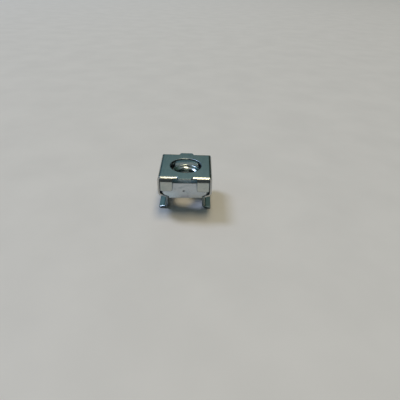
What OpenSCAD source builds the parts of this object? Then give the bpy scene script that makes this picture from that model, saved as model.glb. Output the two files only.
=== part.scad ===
// Cage nut for racks with square holes: one folded sheet of spring steel that
// holds one loose nut. It stands on its two flared wings, with the thread's
// axis on Z, the wings on the X sides and the corner tabs on the Y sides.
// All sizes are in millimetres.

/* [Sheet] */
// Thickness of the spring steel sheet
sheet_t = 0.45; // [0.4:0.05:0.5]
// Outside radius where the top plate turns down into the tabs
bend_r = 1.3; // [1.1:0.1:1.5]
// Outside radius where the top plate turns down into the side walls
side_bend_r = 0.8; // [0.7:0.1:1]

/* [Cage box] */
// Width over the two side walls, along X
cage_w = 12.7; // [12.5:0.1:13]
// Depth over the corner tabs, along Y
cage_d = 13.7; // [13.6:0.1:14]
// Height from the feet to the top plate
cage_h = 9.55; // [9.4:0.05:9.8]
// Depth of the side walls, along Y
wall_d = 12.2; // [11.8:0.1:12.4]
// Diameter of the round hole in the top plate
top_hole_d = 7.5; // [7:0.1:8]

/* [Corner tabs] */
// Distance over the outer edges of a pair of tabs, along X
tab_span = 11.4; // [11:0.1:11.6]
// Drop from the top plate to a tab's lower edge
tab_drop = 3.4; // [3:0.1:3.8]
// Width of the flat tongue between two tabs
tongue_w = 3.15; // [2.8:0.05:3.4]
// Width of the notch on each side of a tongue
notch_w = 1.25; // [1:0.05:1.4]
// Depth of the notch from the tabs' outer face
notch_deep = 0.55; // [0.5:0.05:0.8]
// Radius at a tab's lower inner corner
tab_corner_r = 0.5; // [0.3:0.1:0.8]

/* [Seats and wings] */
// Height at which a side wall starts to turn in
seat_turn_z = 5.4; // [5.2:0.1:5.6]
// Outside radius of that turn
seat_r = 0.95; // [0.8:0.05:1.1]
// Slope of the seats under the nut, in degrees
seat_slope = 21; // [15:1:26]
// Distance between the inner ends of the two seats
seat_gap = 8.28; // [8.28:0.02:8.6]
// Width over the outer faces of the two wings, which enter a 9.5 square hole
neck_w = 9.3; // [9:0.1:9.4]
// Width of a wing along Y, which also enters that hole
wing_w = 9.2; // [8.8:0.1:9.3]
// Inside radius where a seat turns down into its wing
wing_turn_r = 0.4; // [0.3:0.1:0.5]
// Slit between a wing and the seat beside it
wing_slit = 0.2; // [0.1:0.05:0.3]
// Outside radius where a wing turns out into its foot
foot_r = 1.1; // [0.9:0.1:1.2]
// How far a foot falls from level towards its tip, in degrees
foot_drop = 10; // [4:1:14]
// Width over the tips of the two feet
tip_w = 12.7; // [12.5:0.1:12.8]
// Radius at the corners of the tips
tip_corner_r = 0.3; // [0.1:0.1:0.4]

/* [Nut] */
// Width of the nut between the side walls
nut_w = 11.1; // [10.8:0.1:11.1]
// Length of the nut between the tabs
nut_l = 12.2; // [11.8:0.1:12.2]
// Thickness of the nut over its boss
nut_t = 4.1; // [3.9:0.1:4.3]
// Height of the underside of the nut's boss
nut_z = 3.95; // [3.95:0.05:4.05]
// Width of the boss that drops between the two seats
boss_w = 7.8; // [7.2:0.1:7.8]
// Bevel at the nut's upright corners, along X
nut_bevel = 0.7; // [0.5:0.1:0.9]
// The same bevel, along Y
nut_bevel_l = 0.4; // [0.4:0.1:0.8]
// Chamfer along the lower edge of the nut's two sides
nut_edge = 0.15; // [0.15:0.05:0.3]
// Bore of the thread: the minor diameter of M6
thread_bore_d = 5; // [4.95:0.05:5.15]
// Diameter of the countersink at each end of the thread
sink_d = 6.5; // [6.2:0.1:6.8]
// How far the loose nut is turned in its cage, in degrees
nut_turn = 2; // [0:0.5:2]

/* [Hidden] */
$fn = 96;
far = 6;

// section directions: the seat runs down and in, its normal points down and out
seat_dir = [-cos(seat_slope), -sin(seat_slope)];
seat_nrm = [sin(seat_slope), -cos(seat_slope)];
// height at which the tabs and the walls leave the bends round the top plate
bend_z = cage_h - bend_r;
wall_top_z = cage_h - side_bend_r;
// bend centres in the XZ section, right side
seat_c = [cage_w / 2 - seat_r, seat_turn_z];
wing_c_x = neck_w / 2 + wing_turn_r;
wing_c = [wing_c_x, seat_c[1] - (seat_nrm[0] * (seat_c[0] - wing_c_x) + seat_r + wing_turn_r) / cos(seat_slope)];
// ends of the straight seat
seat_out_a = seat_c + seat_r * seat_nrm;
seat_in_a = seat_c + (seat_r - sheet_t) * seat_nrm;
seat_out_b = wing_c - wing_turn_r * seat_nrm;
seat_in_b = wing_c - (wing_turn_r + sheet_t) * seat_nrm;
// inner end of the seat beside a wing
flap_len = (seat_in_b[0] - seat_gap / 2) / cos(seat_slope);
// foot: direction, normal and the ends of its straight part
foot_dir = [cos(foot_drop), -sin(foot_drop)];
foot_nrm = [-sin(foot_drop), -cos(foot_drop)];
foot_c_x = neck_w / 2 - sheet_t + foot_r;
foot_len = (tip_w / 2 - foot_c_x + (foot_r - sheet_t) * sin(foot_drop)) / cos(foot_drop);
foot_c = [foot_c_x, foot_r * cos(foot_drop) + foot_len * sin(foot_drop)];
foot_out = foot_c + foot_r * foot_nrm;
foot_in = foot_c + (foot_r - sheet_t) * foot_nrm;
// a point inside the bend, from which the foot starts so that the two always fuse
foot_root = foot_c + (foot_r - sheet_t / 2) * [cos(260 - foot_drop), sin(260 - foot_drop)];
// nut: height over the seats that the turn needs, and its seat line
nut_lift = nut_l / 2 * sin(nut_turn) * tan(seat_slope) + 0.01;
function seat_top(x) = seat_in_b[1] + (x - seat_in_b[0]) * tan(seat_slope);
function nut_seat(x) = seat_top(x) + nut_lift;
tab_x0 = tongue_w / 2 + notch_w;
tab_x1 = tab_span / 2;
tab_lo = cage_h - tab_drop;

// one bend of the sheet in section, from angle a0 to angle a1
module bend(c, r_out, a0, a1) {
    translate(c) intersection() {
        difference() {
            circle(r = r_out);
            circle(r = r_out - sheet_t);
        }
        polygon([[0, 0],
                 [far * cos(a0), far * sin(a0)],
                 [far * cos((2 * a0 + a1) / 3), far * sin((2 * a0 + a1) / 3)],
                 [far * cos((a0 + 2 * a1) / 3), far * sin((a0 + 2 * a1) / 3)],
                 [far * cos(a1), far * sin(a1)]]);
    }
}

// what is taken off a square corner at the origin to round it
module corner_off(r) {
    difference() {
        translate([-0.1, -0.1]) square([r + 0.1, r + 0.1]);
        translate([r, r]) circle(r = r);
    }
}

// a section drawn in X and Z, run along Y from y0 to y1
module along_y(y0, y1) {
    translate([0, y1, 0]) rotate([90, 0, 0]) linear_extrude(y1 - y0) children();
}

// a section drawn in Y and Z, run along X from x0 to x1
module along_x(x0, x1) {
    translate([x0, 0, 0]) rotate([90, 0, 90]) linear_extrude(x1 - x0) children();
}

// side wall in section, from the top bend to the lower end of the sloping seat
module wall_section() {
    translate([cage_w / 2 - sheet_t, seat_turn_z]) square([sheet_t, wall_top_z - seat_turn_z]);
    bend(seat_c, seat_r, seat_slope - 90, 0);
    polygon([seat_out_a, seat_in_a, seat_in_b, seat_out_b]);
}

// seat beside the wing, carried straight on
module flap_section() {
    polygon([seat_out_b, seat_in_b, seat_in_b + flap_len * seat_dir, seat_out_b + flap_len * seat_dir]);
}

// wing in section: turn down, straight neck, turn out, foot
module wing_section() {
    bend(wing_c, wing_turn_r + sheet_t, 90 + seat_slope, 180);
    translate([neck_w / 2 - sheet_t, foot_c[1]]) square([sheet_t, wing_c[1] - foot_c[1]]);
    bend(foot_c, foot_r, 180, 270 - foot_drop);
    polygon([foot_out, foot_root, foot_in, foot_in + foot_len * foot_dir, foot_out + foot_len * foot_dir]);
}

// side wall, seats, wing and foot on the +X side
module side() {
    flap_y = wing_w / 2 + wing_slit;
    along_y(-wall_d / 2, wall_d / 2) wall_section();
    along_y(flap_y, wall_d / 2) flap_section();
    along_y(-wall_d / 2, -flap_y) flap_section();
    difference() {
        along_y(-wing_w / 2, wing_w / 2) wing_section();
        for (s = [-1, 1])
            translate([tip_w / 2, s * wing_w / 2, -1]) linear_extrude(3)
                rotate(s > 0 ? 180 : 90) corner_off(tip_corner_r);
    }
}

// space under a roof of the given width with rounded eaves, in section
module roof(w, h, r) {
    translate([-w / 2, bend_z - 1]) square([w, h - r - bend_z + 1]);
    translate([-w / 2 + r, bend_z - 1]) square([w - 2 * r, h - bend_z + 1]);
    for (s = [-1, 1]) translate([s * (w / 2 - r), h - r]) circle(r = r);
}

// top plate with the bends round it, as the sheet lies before the notches
module lid() {
    intersection() {
        difference() {
            intersection() {
                along_y(-far * 2, far * 2) roof(cage_w, cage_h, side_bend_r);
                along_x(-far * 2, far * 2) roof(cage_d, cage_h, bend_r);
            }
            intersection() {
                along_y(-far * 3, far * 3) roof(cage_w - 2 * sheet_t, cage_h - sheet_t, side_bend_r - sheet_t);
                along_x(-far * 3, far * 3) roof(cage_d - 2 * sheet_t, cage_h - sheet_t, bend_r - sheet_t);
            }
        }
        translate([0, 0, bend_z]) linear_extrude(bend_r + 1) difference() {
            union() {
                square([cage_w + 1, wall_d], center = true);
                square([tab_span, cage_d + 1], center = true);
            }
            for (s = [-1, 1]) translate([-tongue_w / 2, s > 0 ? cage_d / 2 - bend_r : -cage_d / 2 - 1])
                square([tongue_w, bend_r + 1]);
        }
    }
}

// corner tab at +X +Y, below its bend
module tab() {
    along_y(cage_d / 2 - sheet_t, cage_d / 2) difference() {
        translate([tab_x0, tab_lo]) square([tab_x1 - tab_x0, bend_z - tab_lo]);
        translate([tab_x0, tab_lo]) corner_off(tab_corner_r);
        translate([tab_x1, tab_lo]) rotate(90) corner_off(tab_corner_r * 0.6);
    }
}

// notch beside a tongue, with a rounded root
module notch() {
    r = 0.35;
    y0 = cage_d / 2 - notch_deep;
    translate([tongue_w / 2, 0, tab_lo - 1]) linear_extrude(tab_drop + 2) {
        translate([0, y0 + r]) square([notch_w, notch_deep + 1]);
        translate([r, y0]) square([notch_w - 2 * r, r + 0.1]);
        translate([r, y0 + r]) circle(r = r);
        translate([notch_w - r, y0 + r]) circle(r = r);
    }
}

module spring_cage() {
    color([0.40, 0.50, 0.51]) difference() {
        union() {
            difference() {
                lid();
                for (sx = [0, 1], sy = [0, 1]) mirror([sx, 0, 0]) mirror([0, sy, 0]) notch();
            }
            translate([-tongue_w / 2, -cage_d / 2, cage_h - sheet_t])
                cube([tongue_w, cage_d, sheet_t]);
            for (sx = [0, 1]) mirror([sx, 0, 0]) {
                side();
                for (sy = [0, 1]) mirror([0, sy, 0]) tab();
            }
        }
        translate([0, 0, cage_h - 2 * sheet_t]) cylinder(h = 3 * sheet_t, d = top_hole_d);
    }
}

// nut in section: bevelled seats that match the cage, and a boss between them
module nut_section() {
    w = nut_w / 2;
    b = boss_w / 2;
    c = nut_edge;
    low = nut_seat(w - c);
    polygon([[-b, nut_z], [b, nut_z], [b, nut_seat(b)], [w - c, low], [w, low + c],
             [w, nut_z + nut_t], [-w, nut_z + nut_t], [-w, low + c], [-w + c, low], [-b, nut_seat(b)]]);
}

module floating_nut() {
    w = nut_w / 2;
    l = nut_l / 2;
    k = nut_bevel;
    m = nut_bevel_l;
    top_z = nut_z + nut_t;
    sink = (sink_d - thread_bore_d) / 2;
    color([0.55, 0.61, 0.64]) rotate([0, 0, nut_turn]) difference() {
        intersection() {
            along_y(-l, l) nut_section();
            translate([0, 0, nut_z - 1]) linear_extrude(nut_t + 2)
                polygon([[-w + k, -l], [w - k, -l], [w, -l + m], [w, l - m],
                         [w - k, l], [-w + k, l], [-w, l - m], [-w, -l + m]]);
        }
        translate([0, 0, nut_z - 1]) cylinder(h = nut_t + 2, d = thread_bore_d);
        translate([0, 0, top_z - sink]) cylinder(h = sink + 0.2, d1 = thread_bore_d, d2 = sink_d + 0.4);
        translate([0, 0, nut_z - 0.2]) cylinder(h = sink + 0.2, d1 = sink_d + 0.4, d2 = thread_bore_d);
    }
}

spring_cage();
floating_nut();
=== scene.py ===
"""Rack cage nut: looks of the folded spring cage and of the loose nut in it."""

import math

import bpy
import bmesh
import numpy as np
from mathutils import Matrix, Vector
from mathutils.geometry import delaunay_2d_cdt


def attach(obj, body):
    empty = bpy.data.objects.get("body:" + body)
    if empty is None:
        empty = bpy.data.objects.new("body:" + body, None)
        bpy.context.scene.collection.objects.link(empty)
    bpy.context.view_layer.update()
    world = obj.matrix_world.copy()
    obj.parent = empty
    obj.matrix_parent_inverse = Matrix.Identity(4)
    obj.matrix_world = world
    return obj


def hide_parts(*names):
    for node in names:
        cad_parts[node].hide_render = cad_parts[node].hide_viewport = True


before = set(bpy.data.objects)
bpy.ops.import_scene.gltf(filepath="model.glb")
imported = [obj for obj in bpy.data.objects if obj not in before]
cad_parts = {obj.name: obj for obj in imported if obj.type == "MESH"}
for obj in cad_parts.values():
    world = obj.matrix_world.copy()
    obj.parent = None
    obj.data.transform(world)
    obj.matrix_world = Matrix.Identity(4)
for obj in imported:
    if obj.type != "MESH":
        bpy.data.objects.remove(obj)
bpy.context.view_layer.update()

MM = 0.001
TAU = 2 * math.pi


def smooth(a, b, x):
    t = min(1.0, max(0.0, (x - a) / (b - a)))
    return t * t * (3 - 2 * t)


# ---------------------------------------------------------------- dimensions
# all in millimetres, as in the CAD part
T = 0.45
R = 1.3  # bends down into the tabs
RX = 0.8  # bends down into the side walls
W, D, H = 12.7, 13.7, 9.55
WALL_D = 12.2
HOLE_R = 3.75
TAB_SPAN = 11.4
TAB_DROP = 3.4
TONGUE_W = 3.15
NOTCH_W = 1.25
NOTCH_DEEP = 0.55
SEAT_TURN_Z = 5.4
SEAT_R = 0.95
SLOPE = math.radians(21)
SEAT_GAP = 8.28
NECK_W = 9.3
WING_W = 9.2
WING_R = 0.4
SLIT = 0.2
FOOT_R = 1.1
LIFT = math.radians(-10)
TIP_W = 12.7

NUT_W, NUT_L, NUT_T, NUT_Z = 11.1, 12.2, 4.1, 3.95
BOSS_W = 7.8
BEVEL_X, BEVEL_Y = 0.7, 0.4
SINK_R = 3.25
SINK_SLOPE = math.radians(45)
MINOR_R, MAJOR_R, PITCH = 2.5, 3.0, 1.0
NUT_TURN = math.radians(2)

AX = W / 2 - RX  # the flat plate ends here along X
AY = D / 2 - R  # and here along Y
seat_c = (W / 2 - SEAT_R, SEAT_TURN_Z)
seat_n = (math.sin(SLOPE), -math.cos(SLOPE))
wing_cx = NECK_W / 2 + WING_R
wing_cz = seat_c[1] - (seat_n[0] * (seat_c[0] - wing_cx) + SEAT_R + WING_R) / math.cos(SLOPE)
seat_in_b = (wing_cx - (WING_R + T) * seat_n[0], wing_cz - (WING_R + T) * seat_n[1])
seat_len = math.hypot(
    seat_c[0] + SEAT_R * seat_n[0] - (wing_cx - WING_R * seat_n[0]),
    seat_c[1] + SEAT_R * seat_n[1] - (wing_cz - WING_R * seat_n[1]),
)
flap_len = (seat_in_b[0] - SEAT_GAP / 2) / math.cos(SLOPE)
foot_cx = NECK_W / 2 - T + FOOT_R
foot_len = (TIP_W / 2 - (foot_cx + (FOOT_R - T) * math.sin(LIFT))) / math.cos(LIFT)
foot_cz = FOOT_R * math.cos(LIFT) - foot_len * math.sin(LIFT)


# ------------------------------------------------------- folded sheet, by map
# A chain of straight and bent stretches: (length, turn in radians). It gives
# the outer face's point, and the depth goes in against the outer normal.
def chain(stretches, start):
    out, x, z, a, s = [], start[0], start[1], 0.0, 0.0
    for length, turn in stretches:
        out.append((s, length, turn, x, z, a))
        if turn:
            r = length / turn
            x += r * (math.sin(a + turn) - math.sin(a))
            z -= r * (math.cos(a + turn) - math.cos(a))
            a += turn
        else:
            x += length * math.cos(a)
            z += length * math.sin(a)
        s += length
    return out, s


def along(ch, s):
    """Point and outward normal of a chain at arc length s."""
    k = ch[0]
    for c in ch:
        if s >= c[0]:
            k = c
    s0, length, turn, x, z, a = k
    d = s - s0
    if turn:
        r = length / turn
        b = a + turn * d / length
        x += r * (math.sin(b) - math.sin(a))
        z -= r * (math.cos(b) - math.cos(a))
        a = b
    else:
        x += d * math.cos(a)
        z += d * math.sin(a)
    return x, z, -math.sin(a), math.cos(a)


Q = math.pi / 2
wall_part = [
    (AX, 0.0),
    (RX * Q, -Q),
    (H - RX - SEAT_TURN_Z, 0.0),
    (SEAT_R * (Q - SLOPE), -(Q - SLOPE)),
    (seat_len, 0.0),
]
wing_chain, U_END = chain(
    wall_part
    + [
        (WING_R * (Q - SLOPE), Q - SLOPE),
        (wing_cz - foot_cz, 0.0),
        ((FOOT_R - T) * (Q + LIFT), Q + LIFT),
        (foot_len, 0.0),
    ],
    (0.0, H),
)
flap_chain, U_FLAP = chain(wall_part + [(flap_len, 0.0)], (0.0, H))
tab_chain, V_TAB = chain([(AY, 0.0), (R * Q, -Q), (TAB_DROP - R, 0.0)], (0.0, H))
U_B = wing_chain[5][0]  # where the wings part from the seats
U_1 = AX + RX * math.asin((TAB_SPAN / 2 - AX) / RX)  # tabs' outer edge
V_1 = AY + R * math.asin((WALL_D / 2 - AY) / R)  # walls' edge
V_N = AY + R * math.asin((D / 2 - NOTCH_DEEP - AY) / R)  # root of a notch
FLAP_V = WING_W / 2 + SLIT
TH1, PH1 = (U_1 - AX) / RX, (V_1 - AY) / R


WING_ROLL, WING_SINK = 0.42, 0.08


def sheet(u, v, d):
    """Point of the folded sheet at pattern place (u, v), d below its outer face."""
    su, sv = (1 if u >= 0 else -1), (1 if v >= 0 else -1)
    u, v = abs(u), abs(v)
    ch = wing_chain if v < WING_W / 2 + SLIT / 2 else flap_chain
    if u > U_B and ch is wing_chain:
        # the wings' long edges, drawn down a little by the punch
        f = min(max((v - WING_W / 2 + WING_ROLL) / WING_ROLL, 0.0), 1.0)
        d += WING_SINK * f * f * smooth(U_B, U_B + 0.4, u) * (1 - d / T)
    x0, z0, nx, nz = along(ch, u)
    y0, w0, ny, nw = along(tab_chain, v)
    zu, zv = z0 - d * nz, w0 - d * nw
    th, ph = max(0.0, (u - AX) / RX), max(0.0, (v - AY) / R)
    s = th / TH1 * (1 - smooth(PH1, PH1 + 0.4, ph))
    t = ph / PH1 * (1 - smooth(TH1, TH1 + 0.4, th))
    a = s / (s + t) if s + t > 1e-9 else 0.5
    if th <= 0:
        a = 0.0
    if ph <= 0:
        a = 1.0
    x, y = x0 - d * nx * a, y0 - d * ny * (1 - a)
    # the two bends run into each other over a softened crease
    du, dv = max(H - d - zu, 0.0), max(H - d - zv, 0.0)
    z = H - d - (du ** 7 + dv ** 7) ** (1 / 7)
    if v > AY and u < TONGUE_W / 2 + NOTCH_W:
        w = smooth(TONGUE_W / 2, TONGUE_W / 2 + NOTCH_W * 0.28, u)
        y = v + (y - v) * w
        z = (H - d) + (z - (H - d)) * w
    return np.array((su * x, sv * y, z))


def frame_at(u, v, d):
    """Outward normal and the two tangents of the sheet at (u, v, d)."""
    e = 0.004
    pu = sheet(u + e, v, d) - sheet(u - e, v, d)
    pv = sheet(u, v + e, d) - sheet(u, v - e, d)
    n = np.cross(pu, pv)
    n /= np.linalg.norm(n)
    return n, pu / np.linalg.norm(pu), pv / np.linalg.norm(pv)


# ------------------------------------------------------------ flat pattern
EDGE = 0.12  # how far the cut edges' rounding reaches in
ROLL = 0.22  # the same at the round hole, punched with more clearance
BURR = 0.035  # the smaller rounding at the inner face
quarter = [  # corner, fillet radius, +1 where the corner is convex
    ((TONGUE_W / 2, D / 2), 0.20, 1),
    ((TONGUE_W / 2, V_N), 0.35, -1),
    ((TONGUE_W / 2 + NOTCH_W, V_N), 0.35, -1),
    ((TONGUE_W / 2 + NOTCH_W, V_TAB), 0.5, 1),
    ((U_1, V_TAB), 0.3, 1),
    ((U_1, V_1), 0.10, -1),
    ((U_FLAP, V_1), 0.22, 1),
    ((U_FLAP, FLAP_V), 0.15, 1),
    ((U_B, FLAP_V), 0.09, -1),
    ((U_B, WING_W / 2), 0.09, -1),
    ((U_END, WING_W / 2), 0.3, 1),
]
corners = []
for qx, qy in ((1, 1), (1, -1), (-1, -1), (-1, 1)):
    q = [((c[0] * qx, c[1] * qy), r, s) for c, r, s in quarter]
    corners += q if qx * qy > 0 else q[::-1]


def inset_outline(gap):
    """The pattern's outline, gap inside its true edge, corners filleted."""
    n = len(corners)
    pts = []
    moved = []
    for i in range(n):
        (x, y), r, s = corners[i]
        (px, py), (nx, ny) = corners[i - 1][0], corners[(i + 1) % n][0]
        d_in = np.array((x - px, y - py), float)
        d_in /= np.linalg.norm(d_in)
        d_out = np.array((nx - x, ny - y), float)
        d_out /= np.linalg.norm(d_out)
        # the loop runs clockwise, so the inside is on the right
        r_in = np.array((d_in[1], -d_in[0]))
        r_out = np.array((d_out[1], -d_out[0]))
        p = np.array((x, y)) + gap * (r_in + r_out)
        rr = r - gap if s > 0 else r + gap
        moved.append((p, d_in, d_out, rr))
    for p, d_in, d_out, rr in moved:
        c = p - rr * d_in + rr * d_out
        a0 = math.atan2(*(p - rr * d_in - c)[::-1])
        a1 = math.atan2(*(p + rr * d_out - c)[::-1])
        da = (a1 - a0 + math.pi) % TAU - math.pi
        steps = max(4, int(abs(da) * max(rr, 0.05) / 0.05))
        steps = min(steps, 14)
        for k in range(steps + 1):
            a = a0 + da * k / steps
            pts.append((c[0] + rr * math.cos(a), c[1] + rr * math.sin(a)))
    return np.array(pts)


def ticks(stops, step):
    out = []
    for (a, b), s in zip(stops, step):
        n = max(1, int(math.ceil((b - a) / s)))
        out += [a + (b - a) * i / n for i in range(n)]
    out.append(stops[-1][1])
    return out


wc = wing_chain
u_stops = [(c[0], c[0] + c[1]) for c in wc]
u_steps = [0.55, RX * math.radians(4.5), 0.5, SEAT_R * math.radians(8.6), 0.45,
           WING_R * math.radians(8.6), 0.45, (FOOT_R - T) * math.radians(8), 0.4]
v_stops = [(0, AY), (AY, AY + R * Q), (AY + R * Q, V_TAB)]
v_steps = [0.55, R * math.radians(4.5), 0.42]
u_lines = ticks(u_stops, u_steps)
v_lines = ticks(v_stops, v_steps)
v_lines += [WING_W / 2 - WING_ROLL * f for f in (1.0, 0.85, 0.7, 0.55, 0.45, 0.36)]
u_lines += [TONGUE_W / 2 + NOTCH_W * f for f in (0.0, 0.04, 0.08, 0.12, 0.16, 0.20, 0.24, 0.28, 0.5, 0.75)]
u_lines = sorted(set(round(s * x, 6) for x in u_lines for s in (-1, 1)))
v_lines = sorted(set(round(s * x, 6) for x in v_lines for s in (-1, 1)))


def inside(loop, p):
    """Which of the points p lie inside the closed loop."""
    x, y = p[:, 0], p[:, 1]
    hit = np.zeros(len(p), bool)
    x0, y0 = loop[:, 0], loop[:, 1]
    x1, y1 = np.roll(x0, -1), np.roll(y0, -1)
    for a, b, c, e in zip(x0, y0, x1, y1):
        if b == e:
            continue
        cross = ((b > y) != (e > y)) & (x < (c - a) * (y - b) / (e - b) + a)
        hit ^= cross
    return hit


def ring(radius, n, cx=0.0, cy=0.0):
    return np.array([(cx + radius * math.cos(TAU * i / n), cy + radius * math.sin(TAU * i / n)) for i in range(n)])


def fill(outline, holes, lines=(), extra_loops=()):
    """Triangles of the flat region between an outline and its holes, cut along lines."""
    verts, edges = [], []

    def add(loop, closed=True):
        base = len(verts)
        verts.extend([Vector((float(a), float(b))) for a, b in loop])
        m = len(loop)
        edges.extend([(base + i, base + (i + 1) % m) for i in range(m if closed else m - 1)])

    add(outline)
    for h in holes:
        add(h)
    for e in extra_loops:
        add(e)
    for ln in lines:
        add(ln, closed=False)
    vo, eo, fo, _, _, _ = delaunay_2d_cdt(verts, edges, [], 0, 1e-7)
    vo = np.array([tuple(v) for v in vo])
    fo = np.array([tuple(f) for f in fo])
    c = vo[fo].mean(axis=1)
    keep = inside(np.asarray(outline), c)
    for h in holes:
        keep &= ~inside(np.asarray(h), c)
    fo = fo[keep]
    # drop slivers with no area
    a, b, c3 = vo[fo[:, 0]], vo[fo[:, 1]], vo[fo[:, 2]]
    area = 0.5 * ((b[:, 0] - a[:, 0]) * (c3[:, 1] - a[:, 1]) - (b[:, 1] - a[:, 1]) * (c3[:, 0] - a[:, 0]))
    fo[area < 0] = fo[area < 0][:, ::-1]
    used = np.unique(fo)
    back = -np.ones(len(vo), int)
    back[used] = np.arange(len(used))
    return vo[used], back[fo]


def rim_loops(faces):
    """Boundary loops of a triangle set, each in its faces' own sense."""
    seen = {}
    for f in faces:
        for i in range(3):
            a, b = int(f[i]), int(f[(i + 1) % 3])
            seen[(a, b)] = True
    nxt = {a: b for (a, b) in seen if (b, a) not in seen}
    loops = []
    while nxt:
        a = next(iter(nxt))
        loop = []
        while a in nxt:
            loop.append(a)
            a = nxt.pop(a)
        loops.append(loop)
    return loops


def build_cage():
    core = inset_outline(EDGE)
    hole = ring(HOLE_R + ROLL, 144)
    lines = [[(u, -V_TAB - 1), (u, V_TAB + 1)] for u in u_lines]
    lines += [[(-U_END - 1, v), (U_END + 1, v)] for v in v_lines]
    pat, tri = fill(core, [hole], lines)
    loops = rim_loops(tri)
    n = len(pat)
    verts, normals, faces, mats = [], [], [], []
    for d, s in ((0.0, 1), (T, -1)):
        for u, v in pat:
            nn, _, _ = frame_at(u, v, d)
            # the pattern is right-handed seen from outside, on all four quarters
            verts.append(sheet(u, v, d))
            normals.append(s * nn)
    for f in tri:
        faces.append((int(f[0]), int(f[1]), int(f[2])))
        mats.append(0)
        faces.append((int(f[2]) + n, int(f[1]) + n, int(f[0]) + n))
        mats.append(0)
    for loop in loops:
        m = len(loop)
        p = pat[loop]
        # the shear along a wall and its seats gets the lighter edge zinc (painted light), all other cut edges get the
        # darker one (painted shade)
        edge_shade_or_light = [2 if U_1 + 0.15 < abs(u) < U_B - 0.02 else 1 for u, v in p]
        over = ROLL if np.hypot(p[:, 0], p[:, 1]).max() < HOLE_R + 1 else EDGE
        steps = []  # reach, depth, lean from the face's normal to the edge's, side
        for k in range(1, 7):
            b = Q * k / 6
            lean = math.atan2(EDGE * math.sin(b), over * math.cos(b))
            steps.append((over * math.sin(b), EDGE * (1 - math.cos(b)), lean, 0))
        for f in (0.33, 0.66):
            steps.append((over, EDGE + (T - EDGE - BURR) * f, Q, 0))
        for k in range(0, 5):
            b = Q * k / 4
            steps.append((over - BURR * (1 - math.cos(b)), T - BURR * (1 - math.sin(b)), Q - b, 1))
        nxt, prv = np.roll(p, -1, axis=0), np.roll(p, 1, axis=0)
        e1 = p - prv
        e2 = nxt - p
        e1 /= np.linalg.norm(e1, axis=1)[:, None]
        e2 /= np.linalg.norm(e2, axis=1)[:, None]
        # faces run counterclockwise, so outside is on the right of the loop
        o1 = np.stack([e1[:, 1], -e1[:, 0]], 1)
        o2 = np.stack([e2[:, 1], -e2[:, 0]], 1)
        o = o1 + o2
        o /= np.maximum((o * o1).sum(1), 0.2)[:, None]
        unit = o / np.linalg.norm(o, axis=1)[:, None]
        prev = list(loop)
        for reach, depth, lean, side in steps:
            base = len(verts)
            for i in range(m):
                u, v = p[i] + o[i] * reach
                nn, tu, tv = frame_at(p[i][0], p[i][1], depth)
                out = tu * unit[i][0] + tv * unit[i][1]
                out -= nn * out.dot(nn)
                out /= np.linalg.norm(out)
                verts.append(sheet(u, v, depth))
                nf = nn if side == 0 else -nn
                normals.append(nf * math.cos(lean) + out * math.sin(lean))
            cur = list(range(base, base + m))
            for i in range(m):
                j = (i + 1) % m
                faces.append((prev[j], prev[i], cur[i], cur[j]))
                mats.append(edge_shade_or_light[i])
            prev = cur
        for i in range(m):
            j = (i + 1) % m
            faces.append((prev[j], prev[i], loop[i] + n, loop[j] + n))
            mats.append(edge_shade_or_light[i])
    me = bpy.data.meshes.new("cage")
    me.from_pydata([tuple(q * MM) for q in np.array(verts)], [], faces)
    me.polygons.foreach_set("material_index", mats)
    me.polygons.foreach_set("use_smooth", [True] * len(faces))
    me.validate(clean_customdata=False)
    me.update()
    me.normals_split_custom_set_from_vertices([tuple(q) for q in normals])
    return me


# ------------------------------------------------------------------- the nut
THREAD_Z0 = 7.295 - PITCH * 0.35  # a crest's height where the angle is zero


def thread_r(z, ang):
    """Radius of the bore at a height and angle: thread, with a countersink at each end."""
    f = ((z - THREAD_Z0) / PITCH - ang / TAU + 0.5) % 1.0 - 0.5
    f = abs(f) * PITCH
    k = math.tan(math.radians(30))
    flat = 0.4375 * PITCH - (MAJOR_R - MINOR_R) * k  # half of the crest's flat
    r = MINOR_R + (f - flat) / k
    # crest and root rounded off
    c = 0.035
    r = MINOR_R + 0.5 * (r - MINOR_R + math.sqrt((r - MINOR_R) ** 2 + 4 * c * c * 0.35))
    m = MAJOR_R + 0.02
    r = m - 0.5 * (m - r + math.sqrt((m - r) ** 2 + 4 * c * c))
    return r


def sink_r(z):
    top, low = NUT_Z + NUT_T, NUT_Z
    return SINK_R - min(top - z, z - low) / math.tan(SINK_SLOPE)


def bore_r(z, ang):
    a, b = thread_r(z, ang), sink_r(z)
    k = 0.02
    m = max(k - abs(a - b), 0.0) / k
    return max(a, b) + m * m * k * 0.25


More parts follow.
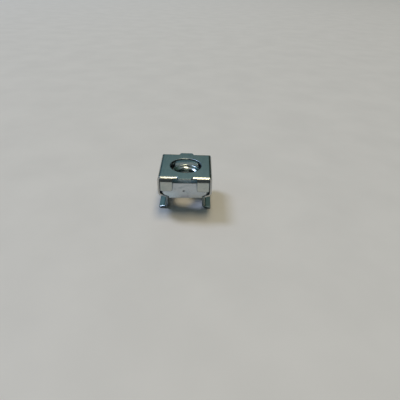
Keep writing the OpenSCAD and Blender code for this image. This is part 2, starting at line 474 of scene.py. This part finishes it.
def build_nut():
    w, l, b = NUT_W / 2, NUT_L / 2, BOSS_W / 2
    top = NUT_Z + NUT_T
    lift = NUT_L / 2 * math.sin(NUT_TURN) * math.tan(SLOPE) + 0.01

    def seat(x):
        return seat_in_b[1] + (x - seat_in_b[0]) * math.tan(SLOPE) + lift

    sec = [(-b, NUT_Z), (b, NUT_Z), (b, seat(b)), (w, seat(w)), (w, top), (-w, top), (-w, seat(w)), (-b, seat(b))]
    bm = bmesh.new()
    fr = [bm.verts.new((x, -l, z)) for x, z in sec]
    bk = [bm.verts.new((x, l, z)) for x, z in sec]
    bm.faces.new(fr)
    bm.faces.new(bk[::-1])
    m = len(sec)
    for i in range(m):
        j = (i + 1) % m
        bm.faces.new((fr[j], fr[i], bk[i], bk[j]))
    bmesh.ops.recalc_face_normals(bm, faces=bm.faces[:])
    for sx in (-1, 1):
        for sy in (-1, 1):
            co = Vector((sx * w, sy * (l - BEVEL_Y), 0))
            no = Vector((sx * BEVEL_Y, sy * BEVEL_X, 0)).normalized()
            geom = bm.verts[:] + bm.edges[:] + bm.faces[:]
            r = bmesh.ops.bisect_plane(bm, geom=geom, plane_co=co, plane_no=no, clear_outer=True, dist=1e-5)
            cut = [e for e in r["geom_cut"] if isinstance(e, bmesh.types.BMEdge)]
            bmesh.ops.holes_fill(bm, edges=cut, sides=0)
    bmesh.ops.recalc_face_normals(bm, faces=bm.faces[:])
    edges = [e for e in bm.edges if len(e.link_faces) == 2 and e.calc_face_angle(0) > math.radians(12)]
    bmesh.ops.bevel(bm, geom=edges, offset=0.13, offset_type="OFFSET", segments=4, profile=0.5,
                    affect="EDGES", clamp_overlap=True, material=-1)
    bmesh.ops.recalc_face_normals(bm, faces=bm.faces[:])
    bm.faces.ensure_lookup_table()

    N = 144

    def reface(pick, holes, extra=(), lines=(), axis=2, move=None):
        """Replace one flat face with a finer one that has holes or a dent in it."""
        f = max((g for g in bm.faces if pick(g)), key=lambda g: g.calc_area())
        no, co = f.normal.copy(), f.calc_center_median()
        if axis == 2:
            flat = [(v.co.x, v.co.y) for v in f.verts]
        else:
            flat = [(v.co.x, v.co.z) for v in f.verts]
        ring_verts = list(f.verts)
        rest = co[axis]
        pts, tris = fill(np.array(flat), holes, lines, extra)
        bm.faces.remove(f)
        made = []
        near = {}
        for v in ring_verts:
            key = (round(v.co.x, 4), round(v.co.y if axis == 2 else v.co.z, 4))
            near[key] = v
        for x, y in pts:
            v = near.get((round(float(x), 4), round(float(y), 4)))
            if v is None:
                q = (x, y, rest) if axis == 2 else (x, rest, y)
                v = bm.verts.new(q)
                if move:
                    move(v, float(x), float(y))
            made.append(v)
        for t in tris:
            g = bm.faces.new([made[int(i)] for i in t])
            g.normal_update()
            if g.normal.dot(no) < 0:
                g.normal_flip()
        return made

    round_r = 0.22  # rounding where a countersink meets a flat face
    rim = SINK_R + round_r * math.tan(SINK_SLOPE / 2)
    top_loop = ring(rim, N)
    made_t = reface(lambda g: g.normal.z > 0.99, [top_loop])
    made_b = reface(lambda g: g.normal.z < -0.99, [top_loop])
    bm.verts.ensure_lookup_table()

    def loop_of(made):
        out = {}
        for v in made:
            r = math.hypot(v.co.x, v.co.y)
            if abs(r - rim) < 1e-4:
                out[round((math.atan2(v.co.y, v.co.x) % TAU) / TAU * N) % N] = v
        return [out[i] for i in range(N)]

    tl, bl = loop_of(made_t), loop_of(made_b)
    # rounding rings, from the flat face into the countersink's cone
    def rounding(loop, zt, s):
        prev = loop
        cen_r, cen_z = rim, zt - s * round_r
        for k in range(1, 4):
            a = SINK_SLOPE * k / 3
            r = cen_r - round_r * math.sin(a)
            z = cen_z + s * round_r * math.cos(a)
            cur = [bm.verts.new((r * math.cos(TAU * i / N), r * math.sin(TAU * i / N), z)) for i in range(N)]
            for i in range(N):
                j = (i + 1) % N
                q = (prev[i], prev[j], cur[j], cur[i])
                bm.faces.new(q if s < 0 else q[::-1])
            prev = cur
        return prev, r, z

    tl2, r_t, z_t = rounding(tl, top, 1)
    bl2, r_b, z_b = rounding(bl, NUT_Z, -1)
    # thread: rows follow the helix and are held between the two ends
    rows = 26
    low, high = z_b, z_t
    k0 = int(math.floor((low - THREAD_Z0 - PITCH) / PITCH * rows)) - 1
    k1 = int(math.ceil((high - THREAD_Z0) / PITCH * rows)) + 1
    grid = []
    for k in range(k0, k1 + 1):
        row = []
        for i in range(N + 1):
            ang = TAU * i / N
            z = THREAD_Z0 + PITCH * (k / rows + ang / TAU)
            if z <= low + 0.004:
                row.append(bl2[i % N])
            elif z >= high - 0.004:
                row.append(tl2[i % N])
            else:
                row.append(None if i < N else "wrap")
                if i < N:
                    r = bore_r(z, ang)
                    row[-1] = bm.verts.new((r * math.cos(ang), r * math.sin(ang), z))
        grid.append(row)
    # angle 2*pi of row k is angle 0 of row k + rows
    for idx, row in enumerate(grid):
        if row[N] == "wrap":
            row[N] = grid[idx + rows][0] if idx + rows < len(grid) else tl2[0]
    for a, c in zip(grid, grid[1:]):
        for i in range(N):
            q = [a[i], a[i + 1], c[i + 1], c[i]]
            q = [v for n_, v in enumerate(q) if v is not q[n_ - 1]]
            if len(set(q)) >= 3:
                try:
                    bm.faces.new(q[::-1])
                except ValueError:
                    pass
    bmesh.ops.remove_doubles(bm, verts=bm.verts[:], dist=1e-5)
    bmesh.ops.recalc_face_normals(bm, faces=bm.faces[:])

    # a small pit in the front face
    px, pz = -0.31, 5.92
    pr, pd = 0.25, 0.16
    circles = [ring(pr * f, 28, px, pz) for f in (0.25, 0.45, 0.65, 0.85, 1.0, 1.2)]

    def dent(v, x, z):
        q = math.hypot((x - px), (z - pz) * 1.25) / pr
        if q < 1.2:
            v.co.y += pd * (math.exp(-2.6 * q * q) - math.exp(-2.6 * 1.44))

    reface(lambda g: g.normal.y < -0.99, [], extra=circles, axis=1, move=dent)
    bmesh.ops.recalc_face_normals(bm, faces=bm.faces[:])
    for f in bm.faces:
        f.smooth = True
        c = f.calc_center_median()
        # bore faces take the darker bore zinc (painted shade), flat top faces behind y = -4 take the lighter top zinc
        # (painted light)
        f.material_index = 1 if math.hypot(c.x, c.y) < rim - 1e-3 else 2 if f.normal.z > 0.99 and c.y > -4 else 0
    bmesh.ops.rotate(bm, verts=bm.verts[:], cent=(0, 0, 0), matrix=Matrix.Rotation(NUT_TURN, 3, "Z"))
    bmesh.ops.scale(bm, verts=bm.verts[:], vec=(MM, MM, MM))
    me = bpy.data.meshes.new("nut")
    bm.to_mesh(me)
    bm.free()
    me.set_sharp_from_angle(angle=math.radians(46))
    return me


# ------------------------------------------------------------------ materials
def new_mat(name):
    m = bpy.data.materials.new(name)
    m.use_nodes = True
    nt = m.node_tree
    nt.nodes.clear()
    out = nt.nodes.new("ShaderNodeOutputMaterial")
    bsdf = nt.nodes.new("ShaderNodeBsdfPrincipled")
    nt.links.new(bsdf.outputs[0], out.inputs[0])
    return m, nt, bsdf


def node(nt, kind, **kw):
    n = nt.nodes.new(kind)
    for k, v in kw.items():
        setattr(n, k, v)
    return n


def noise_tex(nt, co, scale, detail=3.0, rough=0.5, stretch=None):
    if stretch is not None:
        mp = node(nt, "ShaderNodeMapping")
        mp.inputs["Scale"].default_value = stretch
        nt.links.new(co, mp.inputs[0])
        co = mp.outputs[0]
    n = node(nt, "ShaderNodeTexNoise")
    n.inputs["Scale"].default_value = scale
    n.inputs["Detail"].default_value = detail
    n.inputs["Roughness"].default_value = rough
    nt.links.new(co, n.inputs["Vector"])
    return n.outputs["Fac"]


def ramp(nt, fac, stops):
    r = node(nt, "ShaderNodeValToRGB")
    el = r.color_ramp.elements
    while len(el) > 1:
        el.remove(el[-1])
    el[0].position, el[0].color = stops[0][0], stops[0][1]
    for p, c in stops[1:]:
        e = el.new(p)
        e.color = c
    nt.links.new(fac, r.inputs[0])
    return r.outputs[0]


def maprange(nt, fac, a, b, c, d):
    m = node(nt, "ShaderNodeMapRange")
    m.inputs["From Min"].default_value = a
    m.inputs["From Max"].default_value = b
    m.inputs["To Min"].default_value = c
    m.inputs["To Max"].default_value = d
    nt.links.new(fac, m.inputs["Value"])
    return m.outputs[0]


def times(nt, col, fac, low):
    """Colour dimmed to `low` of itself where fac is 0."""
    m = node(nt, "ShaderNodeMixRGB", blend_type="MULTIPLY")
    m.inputs[0].default_value = 1.0
    nt.links.new(col, m.inputs[1])
    nt.links.new(ramp(nt, fac, [(0.0, (*low, 1)), (1.0, (1, 1, 1, 1))]), m.inputs[2])
    return m.outputs[0]


def zinc(name, tint_a, tint_b, rough, seed=(0, 0, 0), grain=(1, 1, 1), bump=0.16, tint_patches=None):
    """Zinc plating: cloudy tint, rolled grain, fine pits, uneven gloss, light scratches."""
    m, nt, bsdf = new_mat(name)
    tc = node(nt, "ShaderNodeTexCoord")
    mp = node(nt, "ShaderNodeMapping")
    mp.inputs["Location"].default_value = seed
    nt.links.new(tc.outputs["Object"], mp.inputs[0])
    co = mp.outputs[0]
    cloud = noise_tex(nt, co, 340, 4, 0.55)
    col = ramp(nt, cloud, [(0.30, tint_a), (0.70, tint_b)])
    rolled = noise_tex(nt, co, 3200, 2, 0.5, stretch=grain)
    col = times(nt, col, maprange(nt, rolled, 0.30, 0.52, 0, 1), (0.95, 0.955, 0.96))
    blots = noise_tex(nt, co, 900, 2, 0.5)
    col = times(nt, col, maprange(nt, blots, 0.24, 0.36, 0, 1), (0.80, 0.82, 0.83))
    # given patches dim or lighten the colour; on the nut some of them are painted shade and painted light
    if tint_patches:
        for at, size, low in tint_patches:
            q = node(nt, "ShaderNodeMapping")
            q.inputs["Scale"].default_value = tuple(1 / (v * MM) for v in size)
            q.inputs["Location"].default_value = tuple(-a / v for a, v in zip(at, size))
            nt.links.new(tc.outputs["Object"], q.inputs[0])
            ln = node(nt, "ShaderNodeVectorMath", operation="LENGTH")
            nt.links.new(q.outputs[0], ln.inputs[0])
            col = times(nt, col, maprange(nt, ln.outputs["Value"], 0.3, 1.2, 0, 1), low)
    nt.links.new(col, bsdf.inputs["Base Color"])
    bsdf.inputs["Metallic"].default_value = 1.0
    fine = noise_tex(nt, co, 7000, 2, 0.5)
    mix = node(nt, "ShaderNodeMath", operation="ADD")
    nt.links.new(fine, mix.inputs[0])
    nt.links.new(rolled, mix.inputs[1])
    rg = maprange(nt, mix.outputs[0], 0.7, 1.3, rough[0], rough[1])
    nt.links.new(rg, bsdf.inputs["Roughness"])
    bp = node(nt, "ShaderNodeBump")
    bp.inputs["Strength"].default_value = bump
    bp.inputs["Distance"].default_value = 0.000005
    nt.links.new(mix.outputs[0], bp.inputs["Height"])
    nt.links.new(bp.outputs[0], bsdf.inputs["Normal"])
    return m


cage_mat = zinc("cage_zinc", (0.45, 0.51, 0.50, 1), (0.545, 0.575, 0.55, 1), (0.18, 0.26), grain=(1, 0.08, 0.3))
# cut edges: a darker copy of the zinc, painted shade; wall and seat edges: a lighter copy, painted light
cut_edge_painted_shade = zinc("cage_zinc_cut_edge_painted_shade", (0.20, 0.26, 0.29, 1), (0.28, 0.34, 0.37, 1), (0.26, 0.38), seed=(1, 2, 3))
wall_edge_painted_light = zinc("cage_zinc_edge_painted_light", (0.50, 0.51, 0.50, 1), (0.60, 0.61, 0.60, 1), (0.28, 0.40), seed=(1, 2, 3))
nut_mat = zinc("nut_zinc", (0.49, 0.56, 0.62, 1), (0.62, 0.67, 0.71, 1), (0.26, 0.38), seed=(3, 1, 2),
               # a dark spot over the pit: painted shade in the pit
               tint_patches=[((-0.33, -6.1, 5.90), (0.19, 0.6, 0.26), (0.14, 0.16, 0.17)),
                      # darker streaks and a faint darker patch across the front face
                      ((-1.05, -6.1, 6.76), (0.60, 3, 0.24), (0.74, 0.78, 0.80)),
                      ((-0.45, -6.1, 7.00), (0.55, 3, 0.20), (0.80, 0.83, 0.85)),
                      ((0.45, -6.1, 7.35), (1.1, 3, 0.24), (0.86, 0.88, 0.90)),
                      ((0.3, -6.1, 4.5), (1.6, 3, 0.45), (0.90, 0.87, 0.92)),
                      # lighter and bluer lower left of the front face: painted light from the cool lamp on the left
                      ((-3.6, -6.1, 4.9), (2.6, 3, 1.2), (1.00, 1.08, 1.12))])
# the bore: a darker copy of the nut zinc, painted shade inside the bore
bore_painted_shade_mat = zinc("nut_zinc_bore_painted_shade", (0.43, 0.51, 0.52, 1), (0.52, 0.59, 0.58, 1), (0.15, 0.22), seed=(2, 2, 2), bump=0.08)
# the nut's top: a lighter copy of the nut zinc, painted light under the plate
top_painted_light_mat = zinc("nut_zinc_top_painted_light", (0.64, 0.74, 0.80, 1), (0.72, 0.80, 0.86, 1), (0.17, 0.24), seed=(1, 3, 1), bump=0.08)

cage = bpy.data.objects.new("spring_cage_sheet", build_cage())
bpy.context.scene.collection.objects.link(cage)
cage.data.materials.append(cage_mat)
cage.data.materials.append(cut_edge_painted_shade)
cage.data.materials.append(wall_edge_painted_light)
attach(cage, "root")
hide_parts("spring_cage")

nut = bpy.data.objects.new("floating_nut_threaded", build_nut())
bpy.context.scene.collection.objects.link(nut)
nut.data.materials.append(nut_mat)
nut.data.materials.append(bore_painted_shade_mat)
nut.data.materials.append(top_painted_light_mat)
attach(nut, "root")
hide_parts("floating_nut")

# ---------------------------------------------------------------- the studio
fm = bpy.data.meshes.new("floor")
s = 1.2
fm.from_pydata([(-s, -s, 0), (s, -s, 0), (s, s, 0), (-s, s, 0)], [], [(0, 1, 2, 3)])
floor = bpy.data.objects.new("floor", fm)
bpy.context.scene.collection.objects.link(floor)
floor_mat, nt, bsdf = new_mat("floor")
tc = node(nt, "ShaderNodeTexCoord")
n1 = noise_tex(nt, tc.outputs["Object"], 60, 3, 0.5)
col = ramp(nt, n1, [(0.35, (0.740, 0.728, 0.700, 1)), (0.65, (0.775, 0.762, 0.733, 1))])
nt.links.new(col, bsdf.inputs["Base Color"])
bsdf.inputs["Roughness"].default_value = 0.6
fm.materials.append(floor_mat)

world = bpy.data.worlds.new("studio")
bpy.context.scene.world = world
world.use_nodes = True
nt = world.node_tree
nt.nodes.clear()
out = node(nt, "ShaderNodeOutputWorld")
bg = node(nt, "ShaderNodeBackground")
nt.links.new(bg.outputs[0], out.inputs[0])
tc = node(nt, "ShaderNodeTexCoord")
sep = node(nt, "ShaderNodeSeparateXYZ")
nt.links.new(tc.outputs["Generated"], sep.inputs[0])
# a dim teal-grey room, darker low down and on the side the camera stands
up_down = ramp(nt, sep.outputs["Z"], [
    (0.00, (0.040, 0.050, 0.050, 1)),
    (0.18, (0.055, 0.080, 0.080, 1)),
    (0.38, (0.085, 0.140, 0.145, 1)),
    (0.50, (0.181, 0.280, 0.296, 1)),
    (0.58, (0.235, 0.352, 0.367, 1)),
    (0.70, (0.200, 0.275, 0.285, 1)),
    (0.85, (0.250, 0.280, 0.285, 1)),
    (1.00, (0.380, 0.370, 0.360, 1)),
])
# bluer towards -X, darker and greener towards +X
side_x = node(nt, "ShaderNodeMapRange")
side_x.inputs["From Min"].default_value = -0.5
side_x.inputs["From Max"].default_value = 0.5
nt.links.new(sep.outputs["X"], side_x.inputs["Value"])
side_tint = ramp(nt, side_x.outputs[0], [
    (0.20, (0.48, 0.70, 0.83, 1)),
    (0.45, (1.00, 1.00, 1.00, 1)),
    (0.55, (0.97, 0.97, 0.97, 1)),
    (0.78, (0.23, 0.25, 0.19, 1)),
])
low_down = node(nt, "ShaderNodeMapRange")
low_down.inputs["From Min"].default_value = 0.80
low_down.inputs["From Max"].default_value = 0.60
nt.links.new(sep.outputs["Z"], low_down.inputs["Value"])
sided = node(nt, "ShaderNodeMixRGB", blend_type="MULTIPLY")
nt.links.new(low_down.outputs[0], sided.inputs[0])
nt.links.new(up_down, sided.inputs[1])
nt.links.new(side_tint, sided.inputs[2])
nearness = node(nt, "ShaderNodeVectorMath", operation="DOT_PRODUCT")
nt.links.new(tc.outputs["Generated"], nearness.inputs[0])
nearness.inputs[1].default_value = (0.0, -math.cos(math.radians(36)), math.sin(math.radians(36)))
lobe = node(nt, "ShaderNodeMapRange", interpolation_type="SMOOTHSTEP")
lobe.inputs["From Min"].default_value = 0.62
lobe.inputs["From Max"].default_value = 0.92
nt.links.new(nearness.outputs["Value"], lobe.inputs["Value"])
near = node(nt, "ShaderNodeMixRGB")
near.inputs[2].default_value = (0.050, 0.056, 0.058, 1)
nt.links.new(lobe.outputs[0], near.inputs[0])
nt.links.new(sided.outputs[0], near.inputs[1])
nt.links.new(near.outputs[0], bg.inputs[0])
bg.inputs[1].default_value = 1.0


def panel(name, toward, spread, level, colour, far=2.5):
    """A ceiling panel in a direction, so many degrees across, that lights the floor to a level."""
    d = Vector(toward).normalized()
    where = d * far
    ld = bpy.data.lights.new(name, "AREA")
    ld.shape = "RECTANGLE"
    ld.size = 2 * far * math.tan(math.radians(spread[0] / 2))
    ld.size_y = 2 * far * math.tan(math.radians(spread[1] / 2))
    ld.energy = level * math.pi * far * far / d.z
    ld.color = colour
    lo = bpy.data.objects.new(name, ld)
    bpy.context.scene.collection.objects.link(lo)
    # its width runs along X, and it faces the object
    z = d
    x = (Vector((1, 0, 0)) - z * z.x).normalized()
    y = z.cross(x)
    lo.matrix_world = Matrix.Translation(where) @ Matrix((x, y, z)).transposed().to_4x4()
    return lo


panel("panel_overhead", (0.07, 0.17, 1.0), (15, 30), 1.08, (1.0, 0.84, 0.57))
panel("panel_left", (-0.53, 0.468, 1.0), (16, 13), 0.87, (0.63, 0.72, 0.98))

# ---------------------------------------------------------------- the camera
cd = bpy.data.cameras.new("camera")
cam = bpy.data.objects.new("camera", cd)
bpy.context.scene.collection.objects.link(cam)
bpy.context.scene.camera = cam
pitch, yaw, roll = (math.radians(a) for a in (32.778, 0.754, 1.876))
f = Vector((math.sin(yaw) * math.cos(pitch), math.cos(yaw) * math.cos(pitch), -math.sin(pitch)))
r0 = Vector((math.cos(yaw), -math.sin(yaw), 0))
u0 = r0.cross(f)
right = math.cos(roll) * r0 + math.sin(roll) * u0
up = -math.sin(roll) * r0 + math.cos(roll) * u0
m3 = Matrix((right, up, -f)).transposed()
cam.matrix_world = Matrix.Translation((0.002699, -0.078377, 0.050067)) @ m3.to_4x4()
cd.sensor_width = 36
cd.lens = 32.47
cd.clip_start, cd.clip_end = 0.002, 10
bpy.context.scene.view_settings.view_transform = "Standard"
